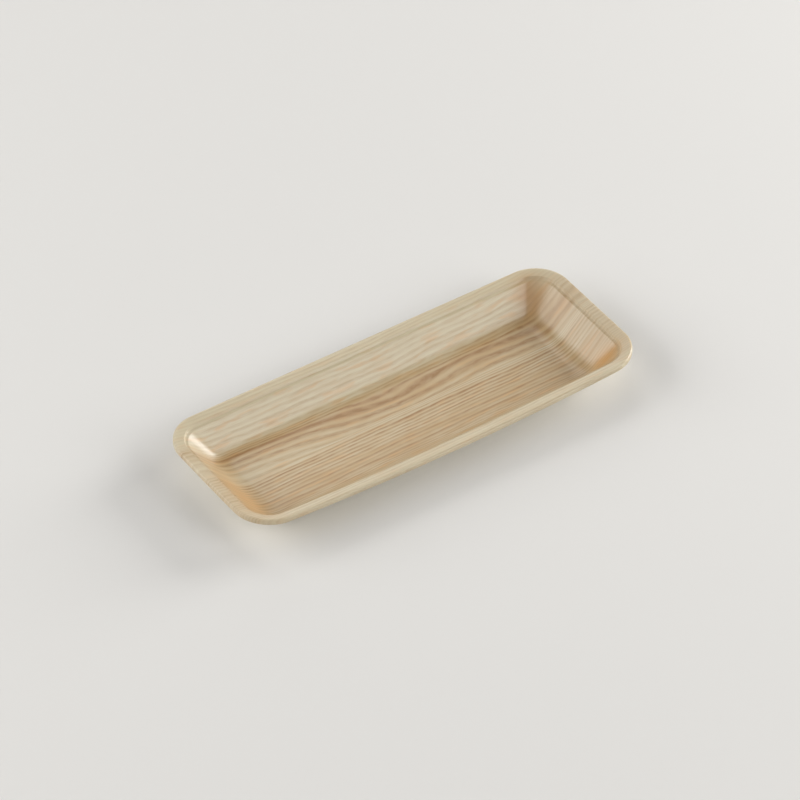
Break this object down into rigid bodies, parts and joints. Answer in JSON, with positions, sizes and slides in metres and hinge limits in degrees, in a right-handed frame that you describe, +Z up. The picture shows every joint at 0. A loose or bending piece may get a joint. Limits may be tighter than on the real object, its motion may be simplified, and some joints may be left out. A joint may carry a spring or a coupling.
{
  "type": "disposable food tray",
  "caption": "Long, shallow rectangular food tray pressed from plastic foam sheet, with sloping walls, round corners, a turned-down rim and a printed wood-grain film over its food side.",
  "frame": {"origin": "middle of the underside of the base, on the surface that the tray stands on", "axes": "+X along the length of the tray, +Y across it, +Z up out of its open side"},
  "size_m": [0.2586, 0.1028, 0.0214],
  "materials": {
    "foam": "pale cream foamed plastic sheet with a fine cell texture, matt",
    "printed_film": "satin film printed in straight pale wood grain along the length of the tray"
  },
  "bodies": {
    "root": {"foam_body": "foam", "grain_film": "printed_film"}
  },
  "joints": []
}
